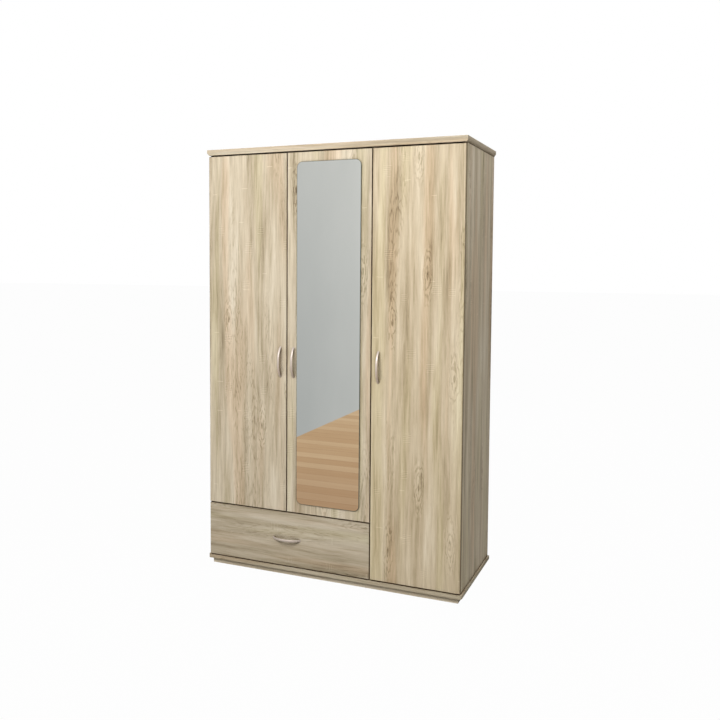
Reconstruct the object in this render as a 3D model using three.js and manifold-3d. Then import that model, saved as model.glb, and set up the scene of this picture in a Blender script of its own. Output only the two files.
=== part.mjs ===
// Three-door wardrobe with a wide drawer, a mirror on the middle door and bow handles.
// Units are millimetres. +Z is up, the doors face -Y and +X is to the right.
// The origin is the middle of the object's box, on the floor.
import * as THREE from 'three';
import { mergeVertices } from 'three/addons/utils/BufferGeometryUtils.js';
import Module from 'manifold-3d';

const wasm = await Module();
wasm.setup();

// ---- Driving dimensions ----
const BODY_WIDTH = 1200; // over the two side panels
const BOARD = 16; // laminated chipboard
const FIT = 0.3; // gap between pieces that touch
const HALF = BODY_WIDTH / 2;

// Heights above the floor
const PLINTH_TOP = 25;
const FLOOR_TOP = PLINTH_TOP + BOARD;
const CORNICE_UNDERSIDE = 1907;
const CORNICE_TOP = 1932;
const DOOR_TOP = 1901;
const TALL_DOOR_BOTTOM = 45;
const SHORT_DOOR_BOTTOM = 295;
const DRAWER_FRONT_TOP = 291;
const HANDLE_HEIGHT = (TALL_DOOR_BOTTOM + DOOR_TOP) / 2;

// Depths, from the handles at the front to the back panel
const HANDLE_PROJECTION = 27; // from the door's face to the front of the strap
const DEPTH_BEHIND_FACE = 530;
const FACE = -(HANDLE_PROJECTION + DEPTH_BEHIND_FACE) / 2 + HANDLE_PROJECTION;
const DOOR_BACK = FACE + BOARD;
const CARCASS_FRONT = DOOR_BACK + 2;
const BACK_PANEL_THICKNESS = 3;
const REAR = FACE + DEPTH_BEHIND_FACE;
const CARCASS_BACK = REAR - BACK_PANEL_THICKNESS - FIT;

// Cornice and bottom board
const CORNICE_SIDE_OVERHANG = 8;
const CORNICE_FRONT_OVERHANG = 5;
const CORNICE_BEVEL_INSET = 7;
const CORNICE_BEVEL_HEIGHT = 10;
const CORNICE_TOP_ROUNDING = 1.5;
const BOTTOM_SIDE_OVERHANG = 8;
const BOTTOM_FRONT_OVERHANG = 4;
const BOTTOM_CORNER_RADIUS = 12;
const PLINTH_SIDE_INSET = 10;
const PLINTH_FRONT_INSET = 13;
const PLINTH_REAR_INSET = 20;

// Bays: a wide hanging bay on the left and a shelf bay on the right
const PARTITION_X = 200;
const BAY_LEFT = -HALF + BOARD;
const BAY_SPLIT_LEFT = PARTITION_X - BOARD / 2;
const BAY_SPLIT_RIGHT = PARTITION_X + BOARD / 2;
const BAY_RIGHT = HALF - BOARD;
const DRAWER_COVER_BOTTOM = 285;
const HAT_SHELF_BOTTOM = 1600;
const SHELF_SETBACK = 12;
const SHELF_BOTTOMS = [404, 776, 1148, 1520];

// Hanging rail, an oval tube
const RAIL_HEIGHT = 30;
const RAIL_WIDTH = 15;
const RAIL_WALL = 1.2;
const RAIL_Z = HAT_SHELF_BOTTOM - 50;
const RAIL_Y = 20;
const SOCKET_WALL = 3;
const SOCKET_DEPTH = 12;

// Doors
const DOOR_SIDE_GAP = 2; // half of the gap between neighbouring doors
const DOOR_EDGE_INSET = 0.5; // from the outer face of a side panel
const MIRROR_WIDTH = 300;
const MIRROR_HEIGHT = 1520;
const MIRROR_THICKNESS = 4;
const MIRROR_CORNER = 25;
const MIRROR_BEVEL = 6;
const MIRROR_BEVEL_DEPTH = 1;

// Bow handles, screwed on at 128 mm centres
const HANDLE_LENGTH = 145;
const HANDLE_WIDTH = 10;
const HANDLE_STRAP = 4.6;
const HANDLE_FROM_EDGE = 30.5;
const HANDLE_ARCH_POWER = 2.6;

// Concealed hinges: a cup in the door, a link, and an arm on the carcass.
// Distances along a door are from its hinged edge, and depths are from its face.
const CUP_FROM_EDGE = 21.5;
const CUP_RADIUS = 17.5;
const CUP_DEPTH = 12.5;
const CUP_WALL = 1.2;
const CUP_NOTCH = 1.8; // in the rim, which the link crosses when the door is open
const KNUCKLE_DEPTH = 18;
const LINK_LENGTH = 45;
const LINK_THICKNESS = 3;
const LINK_WIDTH = 10;
const ARM_LENGTH = 78;
const ARM_INNER_HEIGHT = 17;
const ARM_WALL = 1.5;
const ARM_REACH = 16; // from the knuckle's line to the outside of the arm's web
const HINGE_END_DISTANCE = 100;

// Drawer on two channel runners
const RUNNER_GAP = 13;
const DRAWER_SIDE_BOTTOM = 75;
const DRAWER_SIDE_HEIGHT = 160;
const DRAWER_LENGTH = 450;
const DRAWER_BOTTOM_THICKNESS = 3;
const RUNNER_LENGTH = 450;
const RUNNER_BOTTOM = 108;
const RUNNER_HEIGHT = 35;
const RUNNER_STEEL = 1.2;
const RUNNER_INNER_HEIGHT = 27;

// ---- Finishes ----
function oak() {
  return new THREE.MeshStandardMaterial({ color: 0xcdbd9c, roughness: 0.6, metalness: 0 });
}

function whiteBoard() {
  return new THREE.MeshStandardMaterial({ color: 0xe9e4d8, roughness: 0.7, metalness: 0 });
}

function satinNickel() {
  return new THREE.MeshStandardMaterial({ color: 0xb9b2aa, roughness: 0.35, metalness: 1 });
}

function zincSteel() {
  return new THREE.MeshStandardMaterial({ color: 0xb4b8bc, roughness: 0.4, metalness: 1 });
}

function silvering() {
  return new THREE.MeshStandardMaterial({ color: 0xdfe4e4, roughness: 0.03, metalness: 1 });
}

// ---- Building blocks ----
const wardrobe = new THREE.Group();

function add(name, geometry, material, position = [0, 0, 0]) {
  const mesh = new THREE.Mesh(geometry, material);
  mesh.name = name;
  mesh.position.set(...position);
  wardrobe.add(mesh);
  return mesh;
}

// A rectangular board given by its lowest and highest value along each axis.
function addBoard(name, material, [x0, x1], [y0, y1], [z0, z1]) {
  const geometry = new THREE.BoxGeometry(x1 - x0, y1 - y0, z1 - z0);
  return add(name, geometry, material, [(x0 + x1) / 2, (y0 + y1) / 2, (z0 + z1) / 2]);
}

// A solid skinned over a stack of convex rings, each with the same number of points.
function loft(rings) {
  const count = rings[0].length;
  const positions = rings.flat().flatMap((point) => [point.x, point.y, point.z]);
  const index = [];
  for (let ring = 0; ring < rings.length - 1; ring += 1) {
    for (let i = 0; i < count; i += 1) {
      const a = ring * count + i;
      const b = ring * count + ((i + 1) % count);
      index.push(a, b, b + count, a, b + count, a + count);
    }
  }
  const last = (rings.length - 1) * count;
  for (let i = 1; i < count - 1; i += 1) {
    index.push(0, i + 1, i);
    index.push(last, last + i, last + i + 1);
  }
  const geometry = new THREE.BufferGeometry();
  geometry.setAttribute('position', new THREE.Float32BufferAttribute(positions, 3));
  geometry.setIndex(index);
  return geometry;
}

function toSolid(geometry) {
  const bare = geometry.clone();
  bare.deleteAttribute('normal');
  bare.deleteAttribute('uv');
  const merged = mergeVertices(bare, 1e-4);
  const vertProperties = Float32Array.from(merged.attributes.position.array);
  const triVerts = Uint32Array.from(merged.index.array);
  return new wasm.Manifold(new wasm.Mesh({ numProp: 3, vertProperties, triVerts }));
}

function toGeometry(solid) {
  const result = solid.getMesh();
  const geometry = new THREE.BufferGeometry();
  geometry.setAttribute('position', new THREE.BufferAttribute(result.vertProperties, 3));
  geometry.setIndex(new THREE.BufferAttribute(result.triVerts, 1));
  return geometry;
}

function boxAt(width, depth, height, x, y, z) {
  return new THREE.BoxGeometry(width, depth, height).translate(x, y, z);
}

// ---- Carcass ----
function buildCornice() {
  const front = FACE - CORNICE_FRONT_OVERHANG;
  const side = HALF + CORNICE_SIDE_OVERHANG;
  const planAt = (z, inset) => [
    new THREE.Vector3(-side + inset, front + inset, z),
    new THREE.Vector3(side - inset, front + inset, z),
    new THREE.Vector3(side - inset, CARCASS_BACK, z),
    new THREE.Vector3(-side + inset, CARCASS_BACK, z),
  ];
  add('cornice', loft([
    planAt(CORNICE_UNDERSIDE, CORNICE_BEVEL_INSET),
    planAt(CORNICE_UNDERSIDE + CORNICE_BEVEL_HEIGHT, 0),
    planAt(CORNICE_TOP - CORNICE_TOP_ROUNDING, 0),
    planAt(CORNICE_TOP, CORNICE_TOP_ROUNDING),
  ]), oak());
}

function buildBottomBoard() {
  const front = FACE - BOTTOM_FRONT_OVERHANG;
  const side = HALF + BOTTOM_SIDE_OVERHANG;
  const radius = BOTTOM_CORNER_RADIUS;
  const plan = new THREE.Shape();
  plan.moveTo(-side, CARCASS_BACK);
  plan.lineTo(-side, front + radius);
  plan.absarc(-side + radius, front + radius, radius, Math.PI, 1.5 * Math.PI);
  plan.absarc(side - radius, front + radius, radius, 1.5 * Math.PI, 2 * Math.PI);
  plan.lineTo(side, CARCASS_BACK);
  const options = { depth: BOARD, bevelEnabled: false, curveSegments: 8 };
  add('bottom_board', new THREE.ExtrudeGeometry(plan, options), oak(), [0, 0, PLINTH_TOP]);
}

function buildPlinth() {
  const height = [0, PLINTH_TOP - FIT];
  const end = HALF - PLINTH_SIDE_INSET;
  const front = FACE + PLINTH_FRONT_INSET;
  const rear = CARCASS_BACK - PLINTH_REAR_INSET;
  const between = [front + BOARD + FIT, rear - BOARD - FIT];
  addBoard('plinth_front', oak(), [-end, end], [front, front + BOARD], height);
  addBoard('plinth_rear', oak(), [-end, end], [rear - BOARD, rear], height);
  addBoard('plinth_left', oak(), [-end, -end + BOARD], between, height);
  addBoard('plinth_right', oak(), [end - BOARD, end], between, height);
  addBoard('plinth_centre', oak(), [BAY_SPLIT_LEFT, BAY_SPLIT_RIGHT], between, height);
}

function buildUprights() {
  const depth = [CARCASS_FRONT, CARCASS_BACK];
  const height = [FLOOR_TOP + FIT, CORNICE_UNDERSIDE - FIT];
  addBoard('left_side_panel', oak(), [-HALF, BAY_LEFT], depth, height);
  addBoard('right_side_panel', oak(), [BAY_RIGHT, HALF], depth, height);
  addBoard('centre_partition', oak(), [BAY_SPLIT_LEFT, BAY_SPLIT_RIGHT], depth, height);
}

function buildShelves() {
  const wide = [BAY_LEFT + FIT, BAY_SPLIT_LEFT - FIT];
  const narrow = [BAY_SPLIT_RIGHT + FIT, BAY_RIGHT - FIT];
  const full = [CARCASS_FRONT, CARCASS_BACK];
  const setBack = [CARCASS_FRONT + SHELF_SETBACK, CARCASS_BACK];
  const above = (z) => [z, z + BOARD];
  addBoard('drawer_cover_board', oak(), wide, full, above(DRAWER_COVER_BOTTOM));
  addBoard('hat_shelf', oak(), wide, setBack, above(HAT_SHELF_BOTTOM));
  SHELF_BOTTOMS.forEach((z, i) => {
    addBoard(`shelf_${i + 1}`, oak(), narrow, setBack, above(z));
  });
}

function buildBackPanels() {
  const depth = [REAR - BACK_PANEL_THICKNESS, REAR];
  const height = [PLINTH_TOP + 3, CORNICE_TOP - 10];
  const edge = HALF - 1;
  addBoard('back_panel_wide', whiteBoard(), [-edge, PARTITION_X - FIT], depth, height);
  addBoard('back_panel_narrow', whiteBoard(), [PARTITION_X + FIT, edge], depth, height);
}

// An upright oval in the YZ plane, drawn as a shape that extrudes along +X once turned.
function oval(width, height) {
  const radius = width / 2;
  const straight = height / 2 - radius;
  const shape = new THREE.Shape();
  shape.absarc(0, straight, radius, 0, Math.PI);
  shape.absarc(0, -straight, radius, Math.PI, 2 * Math.PI);
  return shape;
}

// Extrudes a shape along +X, with the shape's x along Y and its y along Z.
function extrudeAlongX(shape, length) {
  const options = { depth: length, bevelEnabled: false, curveSegments: 10 };
  const geometry = new THREE.ExtrudeGeometry(shape, options);
  return geometry.rotateX(Math.PI / 2).rotateZ(Math.PI / 2);
}

function buildHangingRail() {
  const tube = oval(RAIL_WIDTH, RAIL_HEIGHT);
  tube.holes.push(oval(RAIL_WIDTH - 2 * RAIL_WALL, RAIL_HEIGHT - 2 * RAIL_WALL));
  const length = BAY_SPLIT_LEFT - BAY_LEFT - 2 * (SOCKET_WALL + FIT) - 2 * FIT;
  const start = BAY_LEFT + SOCKET_WALL + 2 * FIT;
  add('hanging_rail', extrudeAlongX(tube, length), satinNickel(), [start, RAIL_Y, RAIL_Z]);

  // Each socket is a cup that is closed towards its panel.
  const outerWidth = RAIL_WIDTH + 2 * SOCKET_WALL;
  const outer = toSolid(extrudeAlongX(oval(outerWidth, RAIL_HEIGHT + 2 * SOCKET_WALL), SOCKET_DEPTH));
  const hollow = extrudeAlongX(oval(RAIL_WIDTH + 2 * FIT, RAIL_HEIGHT + 2 * FIT), SOCKET_DEPTH);
  const socket = outer.subtract(toSolid(hollow.translate(SOCKET_WALL, 0, 0)));
  const left = add('rail_socket_left', toGeometry(socket), zincSteel());
  left.position.set(BAY_LEFT + FIT, RAIL_Y, RAIL_Z);
  const right = add('rail_socket_right', toGeometry(socket), zincSteel());
  right.position.set(BAY_SPLIT_LEFT - FIT, RAIL_Y, RAIL_Z);
  right.rotation.z = Math.PI;
}

// ---- Hinges ----
// A hinge is drawn for a door whose hinged edge is at x = 0 and which runs towards +X, with the
// face of the door at y = 0. "side" turns it round for a door that is hinged on its right.
function mirrored(geometry, side) {
  if (side > 0) {
    return geometry;
  }
  const index = geometry.index.array;
  geometry.scale(-1, 1, 1);
  for (let i = 0; i < index.length; i += 3) {
    [index[i + 1], index[i + 2]] = [index[i + 2], index[i + 1]];
  }
  return geometry;
}

// The hollow cup sits in the door. Its two ears hold the link's knuckle behind the door, and
// a notch in its rim clears the link.
function hingeCup() {
  const rim = BOARD + FIT;
  const bottom = BOARD - CUP_DEPTH;
  const profile = [
    [0, bottom],
    [CUP_RADIUS, bottom],
    [CUP_RADIUS, rim + CUP_WALL],
    [CUP_RADIUS - CUP_WALL, rim + CUP_WALL],
    [CUP_RADIUS - CUP_WALL, bottom + CUP_WALL],
    [0, bottom + CUP_WALL],
  ].map(([r, y]) => new THREE.Vector2(r, y));
  const cup = toSolid(new THREE.LatheGeometry(profile, 28).translate(CUP_FROM_EDGE, 0, 0));

  const wingWidth = 11;
  const wingHeight = 58;
  const wing = boxAt(wingWidth, CUP_WALL, wingHeight, CUP_FROM_EDGE + 1, rim + CUP_WALL / 2, 0);
  const mouth = boxAt(wingWidth + 2, 4, 30, CUP_FROM_EDGE + 1, rim, 0);
  let solid = cup.add(toSolid(wing).subtract(toSolid(mouth)));

  const notchX = CUP_FROM_EDGE - CUP_RADIUS;
  const notchY = rim + CUP_WALL - CUP_NOTCH / 2;
  const notch = boxAt(6 * CUP_WALL, CUP_NOTCH, LINK_WIDTH + 2, notchX, notchY, 0);
  solid = solid.subtract(toSolid(notch));

  const earReach = KNUCKLE_DEPTH + 3 - bottom;
  const earZ = LINK_WIDTH / 2 + 2.2;
  for (const sign of [-1, 1]) {
    const ear = boxAt(7, earReach, 1.5, CUP_FROM_EDGE, bottom + earReach / 2, sign * earZ);
    solid = solid.add(toSolid(ear));
  }
  return toGeometry(solid);
}

// The link turns on the knuckle in the cup, and its tail slides in the arm.
function hingeLink() {
  const knuckle = new THREE.CylinderGeometry(2.6, 2.6, LINK_WIDTH + 1.4, 16).rotateX(Math.PI / 2);
  const bar = boxAt(LINK_THICKNESS, LINK_LENGTH, LINK_WIDTH, 0, LINK_LENGTH / 2, 0);
  const solid = toSolid(knuckle).add(toSolid(bar));
  return toGeometry(solid).translate(CUP_FROM_EDGE, KNUCKLE_DEPTH, 0);
}

// The arm is a channel with its open side on the panel and a screw plate behind it.
// "standoff" is the distance from the panel to the knuckle's line.
function hingeArm(standoff) {
  const start = CARCASS_FRONT - FACE + 4;
  const wallX = CUP_FROM_EDGE - standoff + FIT;
  const webX = CUP_FROM_EDGE + ARM_REACH;
  const outerHeight = ARM_INNER_HEIGHT + 2 * ARM_WALL;
  const middleX = (wallX + webX) / 2;
  const width = webX - wallX;
  const outer = boxAt(width, ARM_LENGTH, outerHeight, middleX, start + ARM_LENGTH / 2, 0);
  const inner = boxAt(width, ARM_LENGTH + 2, ARM_INNER_HEIGHT, middleX - ARM_WALL,
    start + ARM_LENGTH / 2, 0);
  const plateStart = start + ARM_LENGTH - 34;
  const plate = boxAt(2, 32, 60, wallX + 1, plateStart + 16, 0);
  return toGeometry(toSolid(outer).subtract(toSolid(inner)).add(toSolid(plate)));
}

// ---- Doors ----
const doors = [
  {
    name: 'left', left: -HALF + DOOR_EDGE_INSET, right: -PARTITION_X - DOOR_SIDE_GAP,
    bottom: SHORT_DOOR_BOTTOM, side: 1, panelFace: BAY_LEFT,
  },
  {
    name: 'mirror', left: -PARTITION_X + DOOR_SIDE_GAP, right: PARTITION_X - DOOR_SIDE_GAP,
    bottom: SHORT_DOOR_BOTTOM, side: -1, panelFace: BAY_SPLIT_LEFT,
  },
  {
    name: 'right', left: PARTITION_X + DOOR_SIDE_GAP, right: HALF - DOOR_EDGE_INSET,
    bottom: TALL_DOOR_BOTTOM, side: -1, panelFace: BAY_RIGHT,
  },
];

function hingeHeights(door) {
  const low = door.bottom + HINGE_END_DISTANCE;
  const high = DOOR_TOP - HINGE_END_DISTANCE;
  return [low, (low + high) / 2, high];
}

function buildDoorPanel(door) {
  const width = door.right - door.left;
  const height = DOOR_TOP - door.bottom;
  const middle = (door.left + door.right) / 2;
  const edge = door.side > 0 ? door.left : door.right;
  const slab = boxAt(width, BOARD, height, middle, FACE + BOARD / 2, door.bottom + height / 2);
  let solid = toSolid(slab);
  for (const z of hingeHeights(door)) {
    const bore = new THREE.CylinderGeometry(CUP_RADIUS + FIT, CUP_RADIUS + FIT, BOARD, 28);
    const boreFloor = FACE + BOARD - CUP_DEPTH - FIT;
    bore.translate(edge + door.side * CUP_FROM_EDGE, boreFloor + BOARD / 2, z);
    solid = solid.subtract(toSolid(bore));
  }
  add(`${door.name}_door_panel`, toGeometry(solid), oak());
}

function buildDoorHinges(door) {
  const edge = door.side > 0 ? door.left : door.right;
  const standoff = Math.abs(edge + door.side * CUP_FROM_EDGE - door.panelFace);
  hingeHeights(door).forEach((z, i) => {
    const place = [edge, FACE, z];
    const number = i + 1;
    const cup = mirrored(hingeCup(), door.side);
    add(`${door.name}_hinge_cup_${number}`, cup, zincSteel(), place);
    const arm = mirrored(hingeArm(standoff), door.side);
    add(`${door.name}_hinge_arm_${number}`, arm, zincSteel(), place);
  });
  const middle = hingeHeights(door)[1];
  const link = mirrored(hingeLink(), door.side);
  add(`${door.name}_hinge_link`, link, zincSteel(), [edge, FACE, middle]);
}

function roundedRectangle(width, height, radius, y, segments) {
  const points = [];
  const corners = [[1, 1, 0], [-1, 1, 0.5], [-1, -1, 1], [1, -1, 1.5]];
  for (const [sx, sz, turn] of corners) {
    for (let i = 0; i <= segments; i += 1) {
      const angle = Math.PI * (turn + (0.5 * i) / segments);
      const x = sx * (width / 2 - radius) + radius * Math.cos(angle);
      const z = sz * (height / 2 - radius) + radius * Math.sin(angle);
      points.push(new THREE.Vector3(x, y, z));
    }
  }
  return points;
}

function buildMirror() {
  const ring = (inset, y) => roundedRectangle(
    MIRROR_WIDTH - 2 * inset, MIRROR_HEIGHT - 2 * inset, MIRROR_CORNER - inset, y, 8);
  const back = FACE - FIT;
  const front = back - MIRROR_THICKNESS;
  const rings = [ring(0, back), ring(0, front + MIRROR_BEVEL_DEPTH), ring(MIRROR_BEVEL, front)];
  const middle = (SHORT_DOOR_BOTTOM + DOOR_TOP) / 2;
  add('mirror_glass', loft(rings), silvering(), [0, 0, middle]);
}

// ---- Handles ----
// The strap's section is an ellipse that follows an arch. Its two feet are cut flat on the door.
function bowHandle() {
  const steps = 20;
  const sides = 12;
  const reach = HANDLE_LENGTH / 2 - HANDLE_STRAP;
  const rise = HANDLE_PROJECTION - FIT - HANDLE_STRAP / 2;
  const rings = [];
  for (let step = 0; step <= steps; step += 1) {
    const t = -1 + (2 * step) / steps;
    const bow = Math.abs(t) ** HANDLE_ARCH_POWER;
    const slope = -HANDLE_ARCH_POWER * Math.sign(t) * Math.abs(t) ** (HANDLE_ARCH_POWER - 1);
    const tangent = new THREE.Vector2(reach, rise * slope).normalize();
    const ring = [];
    for (let i = 0; i < sides; i += 1) {
      const angle = (-2 * Math.PI * i) / sides;
      const offset = (HANDLE_STRAP / 2) * Math.sin(angle);
      let along = reach * t - tangent.y * offset;
      let out = rise * (1 - bow) + tangent.x * offset;
      if (step === 0 || step === steps) {
        along -= (out * tangent.x) / tangent.y;
        out = 0;
      }
      ring.push(new THREE.Vector3((HANDLE_WIDTH / 2) * Math.cos(angle), -out, along));
    }
    rings.push(ring);
  }
  return loft(rings);
}

function buildHandles() {
  const y = FACE - FIT;
  const handle = (name, x, z) => add(name, bowHandle(), satinNickel(), [x, y, z]);
  const [left, mirror, right] = doors;
  handle('left_door_handle', left.right - HANDLE_FROM_EDGE, HANDLE_HEIGHT);
  handle('mirror_door_handle', mirror.left + HANDLE_FROM_EDGE, HANDLE_HEIGHT);
  handle('right_door_handle', right.left + HANDLE_FROM_EDGE, HANDLE_HEIGHT);
  const drawerMiddle = (TALL_DOOR_BOTTOM + DRAWER_FRONT_TOP) / 2;
  const drawer = handle('drawer_handle', -PARTITION_X, drawerMiddle);
  drawer.rotation.y = Math.PI / 2;
}

// ---- Drawer ----
function buildDrawerBox() {
  const left = BAY_LEFT + RUNNER_GAP;
  const right = BAY_SPLIT_LEFT - RUNNER_GAP;
  const start = DOOR_BACK + FIT;
  const end = start + DRAWER_LENGTH;
  const height = [DRAWER_SIDE_BOTTOM, DRAWER_SIDE_BOTTOM + DRAWER_SIDE_HEIGHT];
  const inside = [left + BOARD + FIT, right - BOARD - FIT];
  const under = [DRAWER_SIDE_BOTTOM - FIT - DRAWER_BOTTOM_THICKNESS, DRAWER_SIDE_BOTTOM - FIT];
  const frontSpan = [-HALF + DOOR_EDGE_INSET, PARTITION_X - DOOR_SIDE_GAP];
  addBoard('drawer_front', oak(), frontSpan, [FACE, DOOR_BACK], [TALL_DOOR_BOTTOM, DRAWER_FRONT_TOP]);
  addBoard('drawer_side_left', oak(), [left, left + BOARD], [start, end], height);
  addBoard('drawer_side_right', oak(), [right - BOARD, right], [start, end], height);
  addBoard('drawer_back', oak(), inside, [end - BOARD, end], height);
  addBoard('drawer_bottom', whiteBoard(), [left, right], [start, end], under);
}

// A channel 'height' tall whose web is at x = 0 and whose flanges reach 'reach' along +X.
function channel(height, reach) {
  const half = height / 2;
  const steel = RUNNER_STEEL;
  const outline = [
    [0, -half], [reach, -half], [reach, -half + steel], [steel, -half + steel],
    [steel, half - steel], [reach, half - steel], [reach, half], [0, half],
  ].map(([x, z]) => new THREE.Vector2(x, z));
  const options = { depth: RUNNER_LENGTH, bevelEnabled: false };
  const geometry = new THREE.ExtrudeGeometry(new THREE.Shape(outline), options);
  return geometry.rotateX(Math.PI / 2).translate(0, RUNNER_LENGTH, 0);
}

function buildRunners() {
  const z = RUNNER_BOTTOM + RUNNER_HEIGHT / 2;
  const y = CARCASS_FRONT + 2;
  const outerReach = 9;
  const innerReach = 8.4;
  const place = (name, geometry, x, turned) => {
    const mesh = add(name, geometry, zincSteel(), [x, turned ? y + RUNNER_LENGTH : y, z]);
    mesh.rotation.z = turned ? Math.PI : 0;
  };
  const outer = () => channel(RUNNER_HEIGHT, outerReach);
  const inner = () => channel(RUNNER_INNER_HEIGHT, innerReach);
  place('cabinet_runner_left', outer(), BAY_LEFT + FIT, false);
  place('cabinet_runner_right', outer(), BAY_SPLIT_LEFT - FIT, true);
  place('drawer_runner_left', inner(), BAY_LEFT + RUNNER_GAP - FIT, true);
  place('drawer_runner_right', inner(), BAY_SPLIT_LEFT - RUNNER_GAP + FIT, false);
}

// ---- Assembly ----
buildCornice();
buildBottomBoard();
buildPlinth();
buildUprights();
buildShelves();
buildBackPanels();
buildHangingRail();
doors.forEach((door) => {
  buildDoorPanel(door);
  buildDoorHinges(door);
});
buildMirror();
buildHandles();
buildDrawerBox();
buildRunners();

export default wardrobe;
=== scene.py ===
import math
import random

import bmesh
import bpy
from mathutils import Matrix, Vector


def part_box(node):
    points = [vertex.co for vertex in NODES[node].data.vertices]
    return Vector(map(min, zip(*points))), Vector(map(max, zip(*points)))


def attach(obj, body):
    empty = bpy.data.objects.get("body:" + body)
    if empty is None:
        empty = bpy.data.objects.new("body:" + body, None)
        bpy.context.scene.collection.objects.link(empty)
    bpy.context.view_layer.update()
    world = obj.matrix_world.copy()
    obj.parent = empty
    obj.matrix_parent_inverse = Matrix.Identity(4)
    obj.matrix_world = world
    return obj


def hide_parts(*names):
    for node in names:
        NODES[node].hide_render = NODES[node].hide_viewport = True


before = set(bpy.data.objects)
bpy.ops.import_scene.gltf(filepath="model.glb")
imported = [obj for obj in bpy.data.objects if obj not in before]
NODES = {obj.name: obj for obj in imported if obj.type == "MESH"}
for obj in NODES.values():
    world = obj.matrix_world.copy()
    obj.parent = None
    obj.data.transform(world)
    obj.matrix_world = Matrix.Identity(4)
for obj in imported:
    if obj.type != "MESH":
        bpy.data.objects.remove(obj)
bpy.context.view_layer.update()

random_source = random.Random(11)

# ---- Driving sizes, in metres ----
EDGE_ROUNDING = 0.0004
FRONT_EDGE_ROUNDING = 0.0011  # of the doors, the drawer front and the side panels
THIN_EDGE_ROUNDING = 0.0003
BOARD = 0.016
MIRROR_CORNER = 0.025
MIRROR_BEVEL = 0.0012
MIRROR_BEVEL_DEPTH = 0.0004
PART_GAP = 0.0003  # between neighbouring CAD solids
HANDLE_ARCH_POWER = 2.6
HANDLE_STRAP = 0.0046  # the strap's thickness
HANDLE_TAPER = 0.16  # the part of its width that it loses towards its feet
HANDLE_SCREW_SPACING = 0.128
BACK_OF_DOORS = -0.2355  # the Y of their inner faces
KNUCKLE_RADIUS = 0.0026
KNUCKLE_CHAMFER = 0.0004
LINK_THICKNESS = 0.003
LINK_WIDTH = 0.010
WING_THICKNESS = 0.0012
WING_SCREW_RISE = 0.0235  # above and below the middle of the cup
RIVET_GAP = 0.00295  # from the link's bar to the riveted end of its pin
PLATE_SCREW_RISE = 0.0225  # above and below the middle of the arm
PLATE_SCREW_PLACE = 0.018  # this and the next three are in front of the arm's rear end
ADJUSTER_PLACES = (0.014, 0.046)
CAP_FRONT = 0.064
CAP_REAR = 0.053
CAP_HALF_HEIGHT = 0.0065
CAP_THICKNESS = 0.0006
PIN_RADIUS = 0.0025
PIN_COLLAR_RADIUS = 0.0036
HOLE_PITCH = 0.032
HOLES_EACH_WAY = 4  # above and below a shelf's pin
HOLE_DISC = 0.00012  # how far the dark disc that paints the shade in a drilled hole stands off its board
RUNNER_STEEL = 0.0012
RUNNER_SCREW_PLACES = (0.035, 0.130, 0.290, 0.420)  # behind the drawer runner's front end
NAIL_PITCH = 0.110
NAIL_HEAD_RADIUS = 0.0032
PLANK_WIDTH = 0.098  # of the oak decor
SAW_PITCH = 0.0078  # between the saw marks of the decor
LEAF_RING = 0.0090  # between the rings round a knot
KNOT_CELL = (0.15, 0.50)  # across and along the grain, with one place for a knot in each
LADDER_CELL = (0.105, 0.25)  # the same for the ladders of saw marks
SAW_LINE_CELL = (0.13, 0.21)  # and for the single saw lines
REFLECTED_BOARD = 0.14  # the width of a board of the reflected floor

# ---- Tints, painted shade and a painted highlight, as factors on the decor's colour ----
# Painted shade: the drawer front, the bottom board and the cornice are darkened copies of the decor. The
# right door's factor shifts its hue.
BOARD_TINTS_AND_SHADES = {
    "drawer_front": (0.84, 0.84, 0.84),
    "bottom_board": (0.80, 0.80, 0.78),
    "cornice": (0.94, 0.95, 0.96),
    "right_door_panel": (0.99, 0.955, 0.89),
}
# Painted highlight on the cornice's lower front bevel
CORNICE_BEVEL_HIGHLIGHT = (1.35, 1.35, 1.32)

# ---- Shade in narrow gaps and beside what stands proud ----
FRONT = (0, -1, 0)
OUTWARD = {  # the side that the outer face of a board with edging looks to
    "left_door_panel": FRONT, "mirror_door_panel": FRONT, "right_door_panel": FRONT,
    "drawer_front": FRONT, "left_side_panel": (-1, 0, 0), "right_side_panel": (1, 0, 0),
}
SEAM_SHADE_WIDTH = 0.0024  # metres from the board's edge to the joint of its edging, whose dark band is also painted shade beside the gaps
SEAM_SHADE_STRENGTH = 0.42
GAP_SHADE_REACH = {"cornice": 0.050}  # metres
USUAL_GAP_SHADE_REACH = 0.008
CONTACT_SHADE_REACH = 0.030
# How open a place is where a shade begins, and where it is full
OUTER_GAP_LIMITS = (0.92, 0.64)
INNER_GAP_LIMITS = (0.80, 0.42)
CONTACT_LIMITS = (0.96, 0.56)
SHADE_SAMPLES = 6

# ---- Light, in watts and as the strength of the white surroundings ----
KEY_POWER = 143.0
SIDE_POWER = 66.0
BACK_POWER = 70.0
AMBIENT = 0.24


def srgb(red, green, blue):
    """A linear colour from display values of 0 to 255."""
    def linear(value):
        value = value / 255
        return value / 12.92 if value <= 0.04045 else ((value + 0.055) / 1.055) ** 2.4
    return (linear(red), linear(green), linear(blue), 1.0)


def middle(name):
    low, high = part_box(name)
    return (Vector(low) + Vector(high)) / 2


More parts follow.
